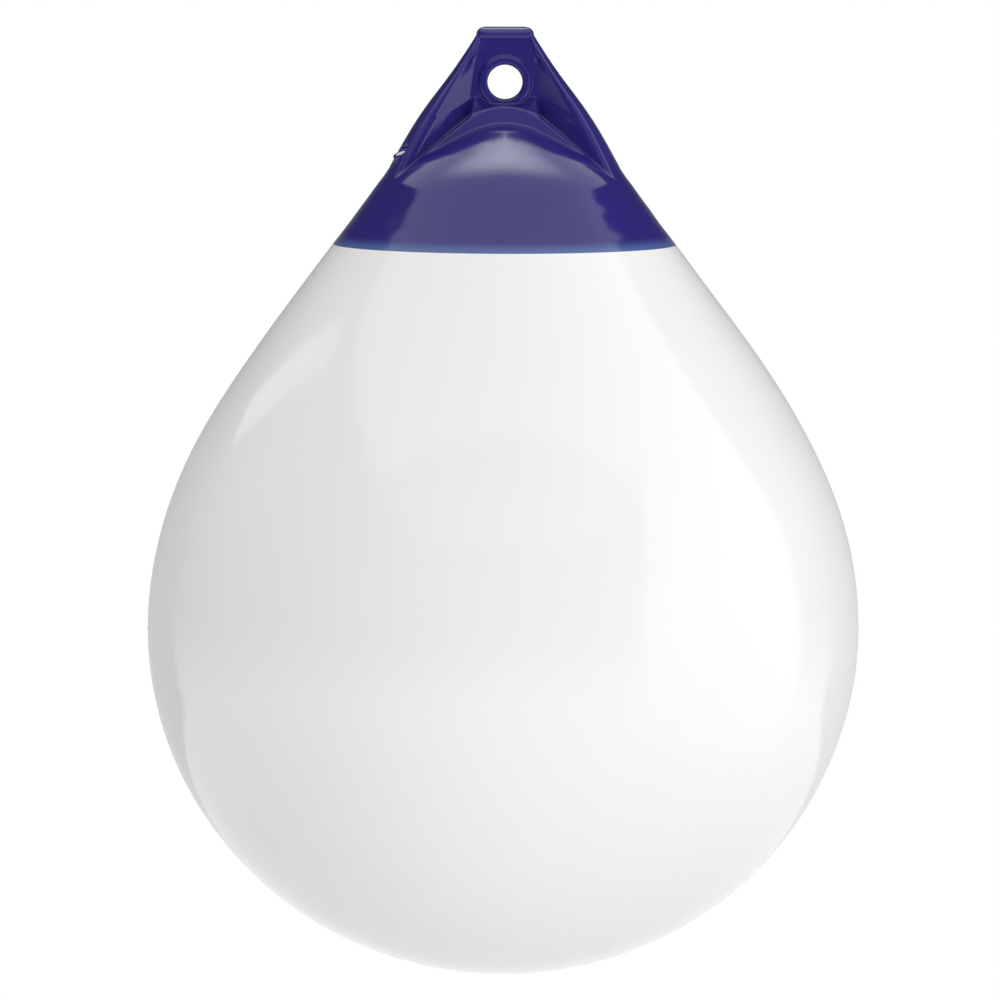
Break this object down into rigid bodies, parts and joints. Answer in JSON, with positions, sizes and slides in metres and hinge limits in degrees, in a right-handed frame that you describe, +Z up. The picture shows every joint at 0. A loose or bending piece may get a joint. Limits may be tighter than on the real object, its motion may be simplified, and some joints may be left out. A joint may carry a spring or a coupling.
{
  "type": "mooring buoy",
  "caption": "Inflatable teardrop mooring buoy with a white vinyl body and a blue moulded rope hold on top, which has an eye for the line and a screwed air valve at its side.",
  "frame": {"origin": "centre of the eye, on the buoy's own axis", "axes": "+Z up along the buoy's axis, +Y along the eye from the front to the back, +X to the right of the front view; the valve is at -X"},
  "size_m": [0.6859, 0.686, 0.914],
  "materials": {
    "white_vinyl": "gloss",
    "blue_vinyl": "gloss",
    "valve_bush": "satin",
    "valve_screw": "gloss"
  },
  "bodies": {
    "root": {"body": "white_vinyl", "rope_hold": "blue_vinyl", "valve_insert": "valve_bush", "valve_plug": "valve_screw"}
  },
  "joints": []
}
